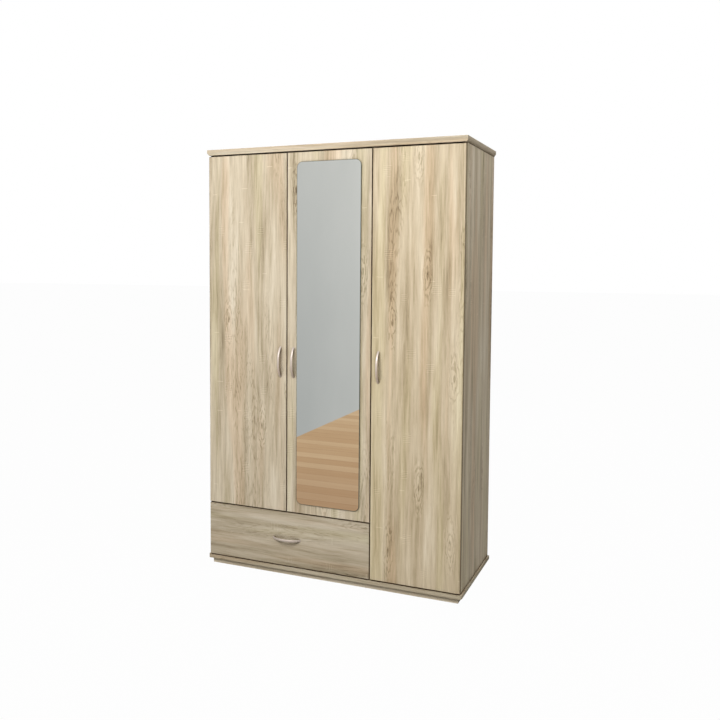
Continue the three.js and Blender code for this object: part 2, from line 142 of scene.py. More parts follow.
# ---- Node trees ----
class Graph:
    """Adds nodes to a shader tree. A value given for a socket is a number, a vector or a link."""

    def __init__(self, tree):
        self.tree = tree

    def feed(self, socket, value):
        if isinstance(value, bpy.types.NodeSocket):
            self.tree.links.new(value, socket)
        elif value is not None:
            socket.default_value = value

    def node(self, kind, inputs=None, **settings):
        node = self.tree.nodes.new("ShaderNode" + kind)
        for name, value in settings.items():
            setattr(node, name, value)
        for name, value in (inputs or {}).items():
            self.feed(node.inputs[name], value)
        return node

    def math(self, operation, first, second=None, third=None):
        inputs = {0: first, 1: second, 2: third}
        return self.node("Math", inputs, operation=operation).outputs[0]

    def vector_math(self, operation, first, second):
        return self.node("VectorMath", {0: first, 1: second}, operation=operation).outputs[0]

    def length(self, vector):
        return self.node("VectorMath", {0: vector}, operation="LENGTH").outputs["Value"]

    def dot(self, first, second):
        inputs = {0: first, 1: second}
        return self.node("VectorMath", inputs, operation="DOT_PRODUCT").outputs["Value"]

    def combine(self, x, y, z):
        return self.node("CombineXYZ", {0: x, 1: y, 2: z}).outputs[0]

    def separate(self, vector):
        return self.node("SeparateXYZ", {0: vector}).outputs

    def noise(self, vector, scale, detail=2.0, roughness=0.5):
        stretched = self.vector_math("MULTIPLY", vector, scale)
        inputs = {"Vector": stretched, "Scale": 1.0, "Detail": detail, "Roughness": roughness}
        return self.node("TexNoise", inputs).outputs[0]

    def swing(self, value, amount):
        """A noise value turned into -amount/2 to amount/2 about zero."""
        return self.math("MULTIPLY_ADD", value, amount, -amount / 2)

    def step(self, value, low, high, to_low=0.0, to_high=1.0):
        inputs = {"Value": value, "From Min": low, "From Max": high,
                  "To Min": to_low, "To Max": to_high}
        return self.node("MapRange", inputs, interpolation_type="SMOOTHSTEP").outputs[0]

    def ramp(self, value, stops):
        node = self.node("ValToRGB", {0: value})
        elements = node.color_ramp.elements
        while len(elements) < len(stops):
            elements.new(0.5)
        for element, (place, colour) in zip(elements, stops):
            element.position = place
            element.color = colour
        return node.outputs[0]

    def mix(self, factor, first, second, blend="MIX"):
        node = self.node("Mix", data_type="RGBA", blend_type=blend)
        self.feed(node.inputs["Factor"], factor)
        self.feed(node.inputs[6], first)
        self.feed(node.inputs[7], second)
        return node.outputs[2]

    def bump(self, height, strength, distance):
        inputs = {"Height": height, "Strength": strength, "Distance": distance}
        return self.node("Bump", inputs).outputs[0]


def empty_material(name):
    material = bpy.data.materials.new(name)
    material.use_nodes = True
    material.node_tree.nodes.clear()
    return material, Graph(material.node_tree)


def new_material(name):
    """A material and its graph, with a Principled shader that is wired to the output."""
    material, graph = empty_material(name)
    shader = graph.node("BsdfPrincipled")
    output = graph.node("OutputMaterial")
    graph.feed(output.inputs["Surface"], shader.outputs[0])
    return material, graph, shader


# ---- Oak decor ----
def scattered(graph, place, cell, seed):
    """Places strewn over the board: offsets from the nearest one in metres, and its own number."""
    cell_across, cell_along = cell
    across, along, _ = graph.separate(place)
    cells = graph.combine(
        graph.math("MULTIPLY_ADD", across, 1 / cell_across, seed),
        graph.math("MULTIPLY_ADD", along, 1 / cell_along, seed),
        0.0,
    )
    inputs = {"Vector": cells, "Scale": 1.0, "Randomness": 0.85}
    voronoi = graph.node("TexVoronoi", inputs, voronoi_dimensions="2D")
    away = graph.separate(graph.vector_math("SUBTRACT", cells, voronoi.outputs["Position"]))
    number = graph.separate(voronoi.outputs["Color"])[0]
    return (
        graph.math("MULTIPLY", away[0], cell_across),
        graph.math("MULTIPLY", away[1], cell_along),
        number,
    )


def make_oak_group():
    """The printed oak decor: joined planks, long streaks, flame figure, knots and saw marks.

    The input is a place in metres across, along and through the grain.
    """
    tree = bpy.data.node_groups.new("oak_decor", "ShaderNodeTree")
    tree.interface.new_socket("Grain", in_out="INPUT", socket_type="NodeSocketVector")
    tree.interface.new_socket("Color", in_out="OUTPUT", socket_type="NodeSocketColor")
    tree.interface.new_socket("Height", in_out="OUTPUT", socket_type="NodeSocketFloat")
    tree.interface.new_socket("Roughness", in_out="OUTPUT", socket_type="NodeSocketFloat")
    graph = Graph(tree)
    grain = tree.nodes.new("NodeGroupInput").outputs[0]
    across, along, through = graph.separate(grain)

    # Planks of the decor, each with its own tone
    plank_place = graph.math("DIVIDE", across, PLANK_WIDTH)
    plank_number = graph.math("FLOOR", plank_place)
    plank_tone = graph.node("TexWhiteNoise", {"W": plank_number}, noise_dimensions="1D").outputs[0]
    other_number = graph.math("ADD", plank_number, 0.37)
    plank_kind = graph.node("TexWhiteNoise", {"W": other_number}, noise_dimensions="1D").outputs[0]

    # Knots push the grain lines aside
    knot_x, knot_y, knot_number = scattered(graph, grain, KNOT_CELL, 3.0)
    squeezed = graph.combine(knot_x, graph.math("MULTIPLY", knot_y, 0.34), 0.0)
    knot_far = graph.length(squeezed)
    has_knot = graph.math("GREATER_THAN", knot_number, 0.52)
    push = graph.math("MULTIPLY", graph.step(knot_far, 0.034, 0.0), has_knot)
    pushed = graph.math("MULTIPLY", graph.math("MULTIPLY", knot_x, push), -0.62)

    # Long grain lines that wander a little. A noise scale is per metre across, along and through
    wander = graph.swing(graph.noise(grain, (5.0, 1.6, 5.0), 2.0), 0.034)
    wobble = graph.swing(graph.noise(grain, (18.0, 9.0, 18.0), 2.0), 0.006)
    shifted = graph.math("ADD", graph.math("ADD", across, wander), graph.math("ADD", wobble, pushed))
    wavy = graph.combine(shifted, along, through)
    broad = graph.noise(wavy, (19.0, 1.5, 19.0), 3.0, 0.50)
    streak = graph.noise(wavy, (80.0, 4.6, 50.0), 3.0, 0.55)
    fine = graph.noise(wavy, (250.0, 11.0, 150.0), 3.0, 0.6)
    pores = graph.noise(wavy, (1300.0, 42.0, 500.0), 1.0)

    # Flame figure: nested arches along the middle of some planks
    centred = graph.math("SUBTRACT", graph.math("FRACT", plank_place), 0.5)
    arch = graph.math("MULTIPLY", graph.math("MULTIPLY", centred, centred), 22.0)
    arch = graph.math("MULTIPLY_ADD", along, 13.0, arch)
    arch = graph.math("ADD", arch, graph.swing(graph.noise(grain, (16.0, 3.0, 16.0), 2.0), 6.0))
    arch = graph.math("ADD", arch, graph.swing(graph.noise(grain, (170.0, 14.0, 170.0), 2.0), 1.6))
    rings = graph.math("SINE", graph.math("MULTIPLY", arch, 2 * math.pi))
    rings = graph.step(rings, 0.35, 1.0)
    figure = graph.math("MULTIPLY", rings, graph.step(plank_kind, 0.40, 0.46))
    patch = graph.step(graph.noise(grain, (9.0, 1.4, 9.0), 1.0), 0.46, 0.60)
    figure = graph.math("MULTIPLY", figure, patch)

    tone = graph.math("ADD", graph.swing(broad, 1.06), 0.61)
    tone = graph.math("ADD", tone, graph.swing(streak, 0.54))
    tone = graph.math("ADD", tone, graph.swing(fine, 0.44))
    tone = graph.math("ADD", tone, graph.swing(plank_tone, 0.10))
    tone = graph.math("MULTIPLY_ADD", figure, -0.19, tone)

    # Narrow dark dashes along the grain
    dash = graph.step(graph.noise(wavy, (66.0, 3.2, 40.0), 1.0), 0.62, 0.72)
    tone = graph.math("MULTIPLY_ADD", dash, -0.12, tone)

    # Knots
    knot_edge = graph.swing(graph.noise(grain, (110.0, 60.0, 110.0), 2.0), 0.006)
    knot = graph.step(graph.math("ADD", knot_far, knot_edge), 0.0072, 0.0030)
    knot = graph.math("MULTIPLY", knot, has_knot)
    tone = graph.math("MULTIPLY_ADD", knot, -0.20, tone)

    # Leaf-shaped rings round the knots
    leaf = graph.combine(knot_x, graph.math("MULTIPLY", knot_y, 0.20), 0.0)
    leaf_far = graph.length(leaf)
    leaf_edge = graph.swing(graph.noise(grain, (60.0, 18.0, 60.0), 3.0), 0.026)
    leaf_place = graph.math("ADD", leaf_far, leaf_edge)
    leaf_rings = graph.math("SINE", graph.math("MULTIPLY", leaf_place, 2 * math.pi / LEAF_RING))
    leaf_rings = graph.step(leaf_rings, 0.0, 0.9)
    leaf_mask = graph.math("MULTIPLY", graph.step(leaf_far, 0.034, 0.014), has_knot)
    tone = graph.math("MULTIPLY_ADD", graph.math("MULTIPLY", leaf_rings, leaf_mask), -0.24, tone)
    tone = graph.math("MULTIPLY_ADD", leaf_mask, 0.05, tone)

    # Saw marks: ladders of short light lines across the grain
    saw_x, saw_y, saw_number = scattered(graph, grain, LADDER_CELL, 11.0)
    ragged = graph.swing(graph.noise(grain, (60.0, 60.0, 60.0), 2.0), 0.022)
    half_width = graph.math("MULTIPLY_ADD", saw_number, 0.012, 0.010)
    inside_x = graph.math("SUBTRACT", half_width, graph.math("ABSOLUTE", graph.math("ADD", saw_x, ragged)))
    half_height = graph.math("MULTIPLY_ADD", saw_number, 0.020, 0.010)
    inside_y = graph.math("SUBTRACT", half_height, graph.math("ABSOLUTE", graph.math("ADD", saw_y, ragged)))
    saw_mask = graph.math("MULTIPLY", graph.step(inside_x, 0.0, 0.004), graph.step(inside_y, 0.0, 0.006))
    saw_mask = graph.math("MULTIPLY", saw_mask, graph.step(saw_number, 0.44, 0.50))
    saw_jitter = graph.swing(graph.noise(grain, (20.0, 70.0, 20.0), 1.0), 0.9)
    saw_phase = graph.math("ADD", graph.math("DIVIDE", along, SAW_PITCH), saw_jitter)
    saw_line = graph.step(graph.math("SINE", graph.math("MULTIPLY", saw_phase, 2 * math.pi)), 0.0, 0.9)
    saw = graph.math("MULTIPLY", saw_line, saw_mask)
    tone = graph.math("MULTIPLY_ADD", saw, 0.17, tone)
    tone = graph.math("MULTIPLY_ADD", saw_mask, -0.04, tone)

    # Single saw lines, lighter than the wood
    line_x, line_y, line_number = scattered(graph, grain, SAW_LINE_CELL, 23.0)
    half_length = graph.math("MULTIPLY_ADD", line_number, 0.018, 0.001)
    inside_x = graph.math("SUBTRACT", half_length, graph.math("ABSOLUTE", line_x))
    line_bend = graph.swing(graph.noise(grain, (40.0, 8.0, 40.0), 1.0), 0.005)
    off_line = graph.math("ABSOLUTE", graph.math("ADD", line_y, line_bend))
    line = graph.math("MULTIPLY", graph.step(inside_x, 0.0, 0.006), graph.step(off_line, 0.0020, 0.0006))
    line = graph.math("MULTIPLY", line, graph.step(line_number, 0.58, 0.68))
    tone = graph.math("MULTIPLY_ADD", line, 0.22, tone)

    pore_lines = graph.step(pores, 0.60, 0.72)
    tone = graph.math("MULTIPLY_ADD", pore_lines, -0.10, tone)

    colour = graph.ramp(tone, [
        (0.00, srgb(112, 95, 72)),
        (0.22, srgb(158, 142, 115)),
        (0.42, srgb(192, 176, 149)),
        (0.60, srgb(212, 197, 171)),
        (0.80, srgb(227, 214, 191)),
        (1.00, srgb(240, 230, 211)),
    ])
    hue = graph.noise(wavy, (10.0, 0.8, 10.0), 1.0)
    pink = graph.math("MULTIPLY", graph.step(hue, 0.52, 0.68), 0.42)
    green = graph.math("MULTIPLY", graph.step(hue, 0.48, 0.32), 0.30)
    colour = graph.mix(pink, colour, srgb(255, 238, 224), "MULTIPLY")
    colour = graph.mix(green, colour, srgb(246, 250, 220), "MULTIPLY")

    height = graph.math("ADD", graph.math("MULTIPLY", fine, 0.5), graph.math("MULTIPLY", saw, 0.5))
    height = graph.math("MULTIPLY_ADD", pore_lines, -0.6, height)
    roughness = graph.math("ADD", graph.swing(streak, 0.24), 0.50)
    output = tree.nodes.new("NodeGroupOutput")
    graph.feed(output.inputs["Color"], colour)
    graph.feed(output.inputs["Height"], height)
    graph.feed(output.inputs["Roughness"], roughness)
    return tree


OAK_GROUP = make_oak_group()


def grain_place(graph, direction):
    """Metres across, along and through the grain for boards whose grain runs along X, Y or Z."""
    coordinates = graph.node("TexCoord")
    x, y, z = graph.separate(coordinates.outputs["Object"])
    if direction == "Z":
        return graph.combine(graph.math("ADD", x, y), z, graph.math("SUBTRACT", x, y))
    if direction == "Y":
        return graph.combine(graph.math("ADD", x, z), y, graph.math("SUBTRACT", x, z))
    main = graph.combine(graph.math("ADD", y, z), x, graph.math("SUBTRACT", y, z))
    # On the ends of a board the edging's grain runs round the board
    normal_x = graph.separate(coordinates.outputs["Normal"])[0]
    is_end = graph.math("GREATER_THAN", graph.math("ABSOLUTE", normal_x), 0.7)
    end = graph.combine(z, y, x)
    node = graph.node("Mix", data_type="VECTOR")
    graph.feed(node.inputs["Factor"], is_end)
    graph.feed(node.inputs[4], main)
    graph.feed(node.inputs[5], end)
    return node.outputs[1]


def facing_outward(graph, name):
    """1 on a board's outer face, -1 on its inner face and 0 on its edges."""
    return graph.dot(graph.node("TexCoord").outputs["Normal"], OUTWARD.get(name, FRONT))


def openness(graph, reach):
    """1 where nothing is within reach, and less the more of the surroundings is closed off."""
    return graph.node("AmbientOcclusion", {"Distance": reach}, samples=SHADE_SAMPLES).outputs["AO"]


def add_gap_shade(graph, colour, name):
    """Darkens a board's edges where they face a narrow gap."""
    reach = GAP_SHADE_REACH.get(name, USUAL_GAP_SHADE_REACH)
    limits = OUTER_GAP_LIMITS if name in OUTWARD or name == "cornice" else INNER_GAP_LIMITS
    in_gap = graph.step(openness(graph, reach), *limits)
    on_edge = graph.step(graph.math("ABSOLUTE", facing_outward(graph, name)), 0.94, 0.66)
    return graph.mix(graph.math("MULTIPLY", in_gap, on_edge), colour, srgb(98, 62, 28), "MULTIPLY")


def add_edging_seam_shade(graph, colour, name):
    """Draws the joint between a board's outer face and its edging as a dark band, which is also painted
    shade beside the gaps.
    """
    place = graph.separate(graph.node("TexCoord").outputs["Object"])
    low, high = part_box(name)
    margin = None
    for axis in (axis for axis in (0, 1, 2) if not OUTWARD[name][axis]):
        middle_place, half = (low[axis] + high[axis]) / 2, (high[axis] - low[axis]) / 2
        off_middle = graph.math("ABSOLUTE", graph.math("SUBTRACT", place[axis], middle_place))
        left_over = graph.math("SUBTRACT", half, off_middle)
        margin = left_over if margin is None else graph.math("MINIMUM", margin, left_over)
    # The dark band is the edging joint, and also painted shade beside the gaps
    seam = graph.math("MULTIPLY", graph.step(margin, SEAM_SHADE_WIDTH, SEAM_SHADE_WIDTH / 2), SEAM_SHADE_STRENGTH)
    return graph.mix(seam, colour, srgb(112, 80, 44), "MULTIPLY")


def add_contact_shade(graph, colour, name):
    """Softly darkens a board's outer face beside what stands proud of it."""
    in_contact = graph.step(openness(graph, CONTACT_SHADE_REACH), *CONTACT_LIMITS)
    on_face = graph.step(facing_outward(graph, name), 0.4, 0.7)
    return graph.mix(graph.math("MULTIPLY", in_contact, on_face), colour, srgb(142, 134, 122), "MULTIPLY")


def oak_material(name, direction):
    """Oak decor on one board. Every board shows its own part of the print."""
    material, graph, shader = new_material("oak_" + name)
    place = grain_place(graph, direction)
    offset = [random_source.uniform(0, 9) for _ in range(3)]
    moved = graph.vector_math("ADD", place, offset)
    group = graph.node("Group", node_tree=OAK_GROUP)
    graph.feed(group.inputs[0], moved)
    colour = group.outputs["Color"]
    # The right door's tint, and painted shade on the drawer front, bottom board and cornice
    if name in BOARD_TINTS_AND_SHADES:
        colour = graph.mix(1.0, colour, (*BOARD_TINTS_AND_SHADES[name], 1.0), "MULTIPLY")
    if name == "cornice":
        # Painted highlight: the bevel is made lighter, standing in for the light that it catches
        # Its lower front bevel is lighter than its face in the photo
        normal = graph.separate(graph.node("TexCoord").outputs["Normal"])
        faces_front = graph.step(normal[1], -0.4, -0.6)
        bevel_highlight_mask = graph.math("MULTIPLY", graph.step(normal[2], -0.3, -0.5), faces_front)
        colour = graph.mix(bevel_highlight_mask, colour, (*CORNICE_BEVEL_HIGHLIGHT, 1.0), "MULTIPLY")
    colour = add_gap_shade(graph, colour, name)
    if name in OUTWARD:
        # The edging joint, darkened also as painted shade beside the gaps
        colour = add_edging_seam_shade(graph, colour, name)
        colour = add_contact_shade(graph, colour, name)
    graph.feed(shader.inputs["Base Color"], colour)
    graph.feed(shader.inputs["Roughness"], group.outputs["Roughness"])
    graph.feed(shader.inputs["Normal"], graph.bump(group.outputs["Height"], 0.35, 0.0004))
    shader.inputs["Specular IOR Level"].default_value = 0.16
    return material


# ---- Other materials ----
def metal_material(name, colour, roughness, brush_scale, bump=0.12, metallic=1.0):
    """Metal with fine brushing. brush_scale is the noise frequency along each axis, per metre."""
    material, graph, shader = new_material(name)
    place = graph.node("TexCoord").outputs["Object"]
    brushing = graph.noise(place, brush_scale, 3.0, 0.65)
    cloud = graph.noise(place, (35.0, 35.0, 35.0), 2.0)
    light = tuple(min(1.0, c * 1.06) for c in colour[:3]) + (1.0,)
    dark = tuple(c * 0.88 for c in colour[:3]) + (1.0,)
    graph.feed(shader.inputs["Base Color"], graph.mix(brushing, dark, light))
    worn = graph.math("ADD", graph.swing(brushing, 0.16), graph.swing(cloud, 0.10))
    graph.feed(shader.inputs["Roughness"], graph.math("ADD", worn, roughness))
    graph.feed(shader.inputs["Normal"], graph.bump(brushing, bump, 0.0002))
    shader.inputs["Metallic"].default_value = metallic
    return material


def nail_heads(graph, place):
    """1 on the heads of the nails that hold the back panels to the sides and the partition."""
    x, _, z = graph.separate(place)
    along = graph.math("SUBTRACT", graph.math("FRACT", graph.math("DIVIDE", z, NAIL_PITCH)), 0.5)
    along = graph.math("MULTIPLY", along, NAIL_PITCH)
    heads = None
    for board in ("left_side_panel", "centre_partition", "right_side_panel"):
        across = graph.math("SUBTRACT", x, middle(board).x)
        far = graph.length(graph.combine(across, along, 0.0))
        head = graph.step(far, NAIL_HEAD_RADIUS, NAIL_HEAD_RADIUS * 0.8)
        heads = head if heads is None else graph.math("MAXIMUM", heads, head)
    return heads


def hardboard_material(outer_y):
    """Hardboard: pale and smooth on the inside, raw brown fibres on the side at outer_y."""
    material, graph, shader = new_material("hardboard")
    place = graph.node("TexCoord").outputs["Object"]
    y = graph.separate(place)[1]
    fibres = graph.noise(place, (420.0, 420.0, 420.0), 5.0, 0.7)
    clouds = graph.noise(place, (5.0, 5.0, 5.0), 3.0, 0.6)
    flecks = graph.step(graph.noise(place, (900.0, 900.0, 300.0), 1.0), 0.62, 0.72)
    raw = graph.ramp(fibres, [
        (0.25, srgb(138, 104, 70)),
        (0.50, srgb(172, 134, 94)),
        (0.75, srgb(198, 162, 120)),
    ])
    raw = graph.mix(graph.step(clouds, 0.30, 0.70), raw, srgb(244, 240, 234), "MULTIPLY")
    raw = graph.mix(graph.math("MULTIPLY", flecks, 0.5), raw, srgb(110, 78, 52))
    raw = graph.mix(nail_heads(graph, place), raw, srgb(150, 150, 154))
    pale = graph.mix(clouds, srgb(226, 219, 203), srgb(236, 231, 219))
    pale = graph.mix(graph.math("MULTIPLY", fibres, 0.15), pale, srgb(190, 180, 160))
    is_raw = graph.step(y, outer_y - 0.0022, outer_y - 0.0018)
    graph.feed(shader.inputs["Base Color"], graph.mix(is_raw, pale, raw))
    graph.feed(shader.inputs["Roughness"], graph.step(is_raw, 0.0, 1.0, 0.45, 0.80))
    graph.feed(shader.inputs["Normal"], graph.bump(fibres, 0.25, 0.0003))
    return material


def plastic_material(name, colour, roughness):
    material, graph, shader = new_material(name)
    place = graph.node("TexCoord").outputs["Object"]
    grain = graph.noise(place, (1600.0, 1600.0, 1600.0), 2.0)
    cloud = graph.noise(place, (60.0, 60.0, 60.0), 2.0)
    darker = tuple(c * 0.90 for c in colour[:3]) + (1.0,)
    graph.feed(shader.inputs["Base Color"], graph.mix(cloud, darker, colour))
    graph.feed(shader.inputs["Roughness"], graph.math("ADD", graph.swing(grain, 0.12), roughness))
    graph.feed(shader.inputs["Normal"], graph.bump(grain, 0.2, 0.0001))
    return material


def mirror_material():
    """Silvered glass, with the faint unevenness of a float-glass mirror."""
    material, graph, shader = new_material("mirror_silvering")
    place = graph.node("TexCoord").outputs["Object"]
    smear = graph.noise(place, (9.0, 9.0, 4.0), 4.0, 0.6)
    graph.feed(shader.inputs["Base Color"], graph.mix(smear, srgb(238, 240, 239), srgb(244, 245, 244)))
    graph.feed(shader.inputs["Roughness"], graph.step(smear, 0.45, 0.75, 0.012, 0.030))
    wave = graph.noise(place, (6.0, 6.0, 3.0), 1.0)
    graph.feed(shader.inputs["Normal"], graph.bump(wave, 0.02, 0.0004))
    shader.inputs["Metallic"].default_value = 1.0
    return material


def glass_edge_material():
    """The ground edge of the mirror: dull grey-green glass."""
    material, graph, shader = new_material("mirror_glass_edge")
    place = graph.node("TexCoord").outputs["Object"]
    grinding = graph.noise(place, (300.0, 300.0, 60.0), 3.0)
    graph.feed(shader.inputs["Base Color"], graph.mix(grinding, srgb(70, 84, 76), srgb(112, 126, 117)))
    graph.feed(shader.inputs["Roughness"], graph.math("ADD", graph.swing(grinding, 0.2), 0.32))
    return material


# ---- Mesh helpers ----
def to_object(name, bm, materials, body, smooth_angle=35.0):
    """Makes a piece from a bmesh, smooths what isn't a corner, and lets it ride."""
    bmesh.ops.recalc_face_normals(bm, faces=bm.faces)
    mesh = bpy.data.meshes.new(name)
    bm.to_mesh(mesh)
    bm.free()
    for material in materials:
        mesh.materials.append(material)
    mesh.polygons.foreach_set("use_smooth", [True] * len(mesh.polygons))
    mesh.set_sharp_from_angle(angle=math.radians(smooth_angle))
    piece = bpy.data.objects.new(name, mesh)
    bpy.context.scene.collection.objects.link(piece)
    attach(piece, body)
    return piece


def soften_board(node, rounding):
    """Rounds the sharp edges of a CAD node with modifiers. Its own mesh stays as it is."""
    weld = node.modifiers.new("weld", "WELD")
    weld.merge_threshold = 0.00001
    bevel = node.modifiers.new("edge_rounding", "BEVEL")
    bevel.width = rounding
    bevel.segments = 2
    bevel.limit_method = "ANGLE"
    bevel.angle_limit = math.radians(35)
    bevel.harden_normals = False
    normals = node.modifiers.new("face_normals", "WEIGHTED_NORMAL")
    normals.keep_sharp = False
    normals.weight = 80


def paint(node_name, material, rounding):
    node = NODES[node_name]
    node.data.materials.clear()
    node.data.materials.append(material)
    soften_board(node, rounding)


# ---- Camera ----
def make_camera():
    """The photograph's viewing angle: from the front right, at chest height."""
    eye = Vector((1.4203, -3.5672, 1.4160))
    yaw, pitch, roll = math.radians(23.94), math.radians(3.52), math.radians(0.24)
    data = bpy.data.cameras.new("camera")
    data.sensor_width = 36.0
    data.lens = 41.454
    data.shift_x = 0.0592
    data.shift_y = -0.0636
    data.clip_end = 100.0
    camera = bpy.data.objects.new("camera", data)
    bpy.context.scene.collection.objects.link(camera)
    turn = Matrix.Rotation(yaw, 4, "Z") @ Matrix.Rotation(math.radians(90) - pitch, 4, "X")
    camera.matrix_world = Matrix.Translation(eye) @ turn @ Matrix.Rotation(roll, 4, "Z")
    bpy.context.scene.camera = camera


# ---- Studio ----
def emission_material(name, build):
    """A stage card's own light. build(graph) gives its colour."""
    material, graph = empty_material(name)
    light = graph.node("Emission", {"Color": build(graph), "Strength": 1.0})
    output = graph.node("OutputMaterial")
    graph.feed(output.inputs["Surface"], light.outputs[0])
    return material


def stage_plane(name, corners, material):
    mesh = bpy.data.meshes.new(name)
    mesh.from_pydata(corners, [], [(0, 1, 2, 3)])
    mesh.materials.append(material)
    plane = bpy.data.objects.new(name, mesh)
    bpy.context.scene.collection.objects.link(plane)
    return plane


def only_in_reflections(plane):
    plane.visible_camera = False
    plane.visible_diffuse = False
    plane.visible_shadow = False
    plane.visible_transmission = False


def make_floor():
    """A plain pale floor. To the camera it is nearly as white as the background."""
    material, graph = empty_material("pale_floor")
    matt = graph.node("BsdfDiffuse", {"Color": (0.34, 0.34, 0.33, 1.0)})
    glow = graph.node("Emission", {"Color": (1.0, 1.0, 1.0, 1.0), "Strength": 1.0})
    bright = graph.node("MixShader", {0: 0.02, 1: glow.outputs[0], 2: matt.outputs[0]})
    seen = graph.node("LightPath").outputs["Is Camera Ray"]
    both = graph.node("MixShader", {0: seen, 1: matt.outputs[0], 2: bright.outputs[0]})
    output = graph.node("OutputMaterial")
    graph.feed(output.inputs["Surface"], both.outputs[0])
    far = 40.0
    corners = [(-far, -far, 0), (far, -far, 0), (far, far, 0), (-far, far, 0)]
    stage_plane("floor", corners, material)


def make_reflected_room():
    """Painted reflection for the mirror: glowing cards, seen only in reflections, of a grey wall beside the
    wardrobe and a wooden floor.
    """
    wall_x = -1.44
    near, far, height = -0.6, -9.0, 7.0

    def painted_wall_glow(graph):
        place = graph.node("TexCoord").outputs["Object"]
        _, y, z = graph.separate(place)
        # Painted light: the wall is lighter higher up and further away
        rise = graph.step(z, 0.0, 2.6)
        away = graph.step(y, -2.7, -4.7)
        level = graph.math("ADD", graph.math("MULTIPLY", rise, 0.60), graph.math("MULTIPLY", away, 0.40))
        cloud = graph.noise(place, (0.9, 1.4, 0.9), 2.0)
        level = graph.math("ADD", level, graph.swing(cloud, 0.30))
        return graph.mix(level, srgb(178, 180, 178), srgb(212, 212, 208))

    def painted_floor_glow(graph):
        place = graph.node("TexCoord").outputs["Object"]
        y = graph.separate(place)[1]
        board_place = graph.math("DIVIDE", y, REFLECTED_BOARD)
        row = graph.math("FLOOR", board_place)
        tone = graph.node("TexWhiteNoise", {"W": row}, noise_dimensions="1D").outputs[0]
        grain = graph.noise(place, (2.5, 40.0, 1.0), 3.0)
        seam = graph.step(graph.math("FRACT", board_place), 0.10, 0.0)
        level = graph.math("ADD", graph.math("MULTIPLY", tone, 0.5), graph.math("MULTIPLY", grain, 0.5))
        board = graph.mix(level, srgb(184, 148, 110), srgb(218, 190, 154))
        # Painted shade: the floor is darker nearer the wardrobe
        near_shade = graph.math("MULTIPLY", graph.step(y, -2.9, -1.0), 0.45)
        board = graph.mix(near_shade, board, srgb(150, 112, 84))
        return graph.mix(graph.math("MULTIPLY", seam, 0.40), board, srgb(140, 104, 74))

    wall = stage_plane(
        "reflected_wall",
        [(wall_x, near, 0), (wall_x, far, 0), (wall_x, far, height), (wall_x, near, height)],
        emission_material("reflected_wall", painted_wall_glow),
    )
    end = stage_plane(
        "reflected_end_wall",
        [(wall_x, far, 0), (4.0, far, 0), (4.0, far, height), (wall_x, far, height)],
        emission_material("reflected_end_wall", painted_wall_glow),
    )
    boards = stage_plane(
        "reflected_floor",
        [(wall_x, far, 0.002), (4.0, far, 0.002), (4.0, near, 0.002), (wall_x, near, 0.002)],
        emission_material("reflected_floor", painted_floor_glow),
    )
    for card in (wall, end, boards):
        only_in_reflections(card)


def add_area_light(name, place, target, size, power):
    data = bpy.data.lights.new(name, "AREA")
    data.shape = "RECTANGLE"
    data.size, data.size_y = size
    data.energy = power
    light = bpy.data.objects.new(name, data)
    bpy.context.scene.collection.objects.link(light)
    light.location = place
    light.rotation_mode = "QUATERNION"
    direction = Vector(target) - Vector(place)
    light.rotation_quaternion = direction.to_track_quat("-Z", "Y")
    return light


def make_studio():
    scene = bpy.context.scene
    scene.view_settings.view_transform = "Standard"
    world = bpy.data.worlds.new("studio")
    scene.world = world
    world.use_nodes = True
    world.node_tree.nodes.clear()
    graph = Graph(world.node_tree)
    seen = graph.node("LightPath").outputs["Is Camera Ray"]
    strength = graph.math("MULTIPLY_ADD", seen, 1.0 - AMBIENT, AMBIENT)
    background = graph.node("Background", {"Color": (1.0, 1.0, 1.0, 1.0), "Strength": strength})
    output = graph.node("OutputWorld")
    graph.feed(output.inputs["Surface"], background.outputs[0])
    make_floor()
    make_reflected_room()
    add_area_light("key", (-0.35, -3.6, 3.3), (0.0, -0.25, 1.3), (2.4, 1.6), KEY_POWER)
    side = add_area_light("side_light", (3.0, -0.5, 4.3), (0.6, -0.1, 1.3), (1.4, 1.4), SIDE_POWER)
    back = add_area_light("back_light", (-0.5, 4.2, 2.8), (-0.1, 0.3, 1.0), (2.4, 2.4), BACK_POWER)
    side.visible_glossy = False
    back.visible_glossy = False


# ---- Boards ----
VERTICAL_GRAIN = (
    "left_side_panel", "right_side_panel", "centre_partition",
    "left_door_panel", "mirror_door_panel", "right_door_panel",
)
SIDEWAYS_GRAIN = (
    "cornice", "bottom_board", "plinth_front", "plinth_rear", "drawer_cover_board", "hat_shelf",
    "shelf_1", "shelf_2", "shelf_3", "shelf_4", "drawer_front", "drawer_back",
)
FORWARD_GRAIN = (
    "plinth_left", "plinth_right", "plinth_centre", "drawer_side_left", "drawer_side_right",
)


def finish_boards():
    for names, direction in ((VERTICAL_GRAIN, "Z"), (SIDEWAYS_GRAIN, "X"), (FORWARD_GRAIN, "Y")):
        for name in names:
            rounding = FRONT_EDGE_ROUNDING if name in OUTWARD else EDGE_ROUNDING
            paint(name, oak_material(name, direction), rounding)
    hardboard = hardboard_material(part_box("back_panel_wide")[1].y)
    for name in ("back_panel_wide", "back_panel_narrow", "drawer_bottom"):
        paint(name, hardboard, THIN_EDGE_ROUNDING)


# ---- Solids ----
def add_loft(bm, rings):
    """Closes the rings into a tube with a fan on each end."""
    rows = [[bm.verts.new(point) for point in ring] for ring in rings]
    count = len(rows[0])
    faces = []
    for row, next_row in zip(rows, rows[1:]):
        for i in range(count):
            j = (i + 1) % count
            faces.append(bm.faces.new((row[i], row[j], next_row[j], next_row[i])))
    faces.append(bm.faces.new(list(reversed(rows[0]))))
    faces.append(bm.faces.new(rows[-1]))
    return faces


